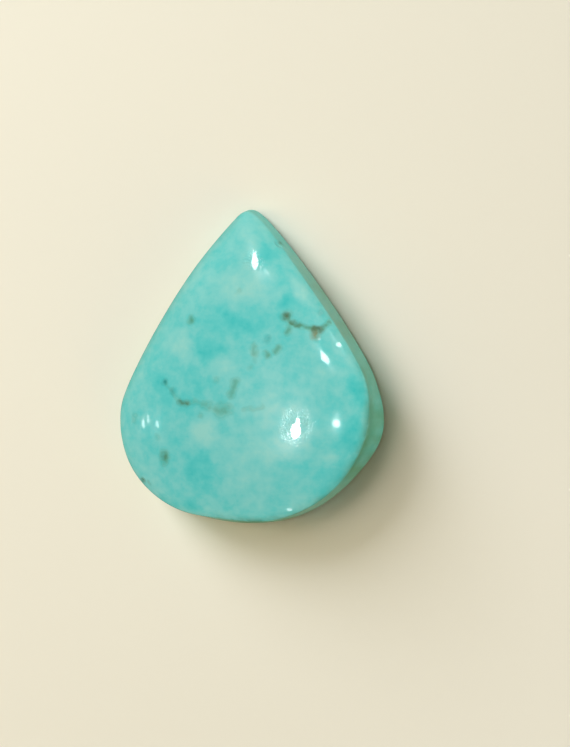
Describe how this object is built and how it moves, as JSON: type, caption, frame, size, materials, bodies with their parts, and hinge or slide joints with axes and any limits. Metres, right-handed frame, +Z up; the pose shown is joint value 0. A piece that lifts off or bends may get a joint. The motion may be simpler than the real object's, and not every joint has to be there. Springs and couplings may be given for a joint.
{
  "type": "turquoise cabochon",
  "caption": "Polished pear-shaped turquoise cabochon with a low domed top, upright wall, flat base and brown matrix veins",
  "frame": {"origin": "middle of the flat base's box, on the surface the stone rests on", "axes": "+Y to the pointed tip, +X across the stone, +Z up out of the dome"},
  "size_m": [0.0186, 0.022, 0.0056],
  "materials": {
    "turquoise": "high polish on the dome, satin on the wall, matt on the base"
  },
  "bodies": {
    "root": {"turquoise_stone": "turquoise"}
  },
  "joints": []
}
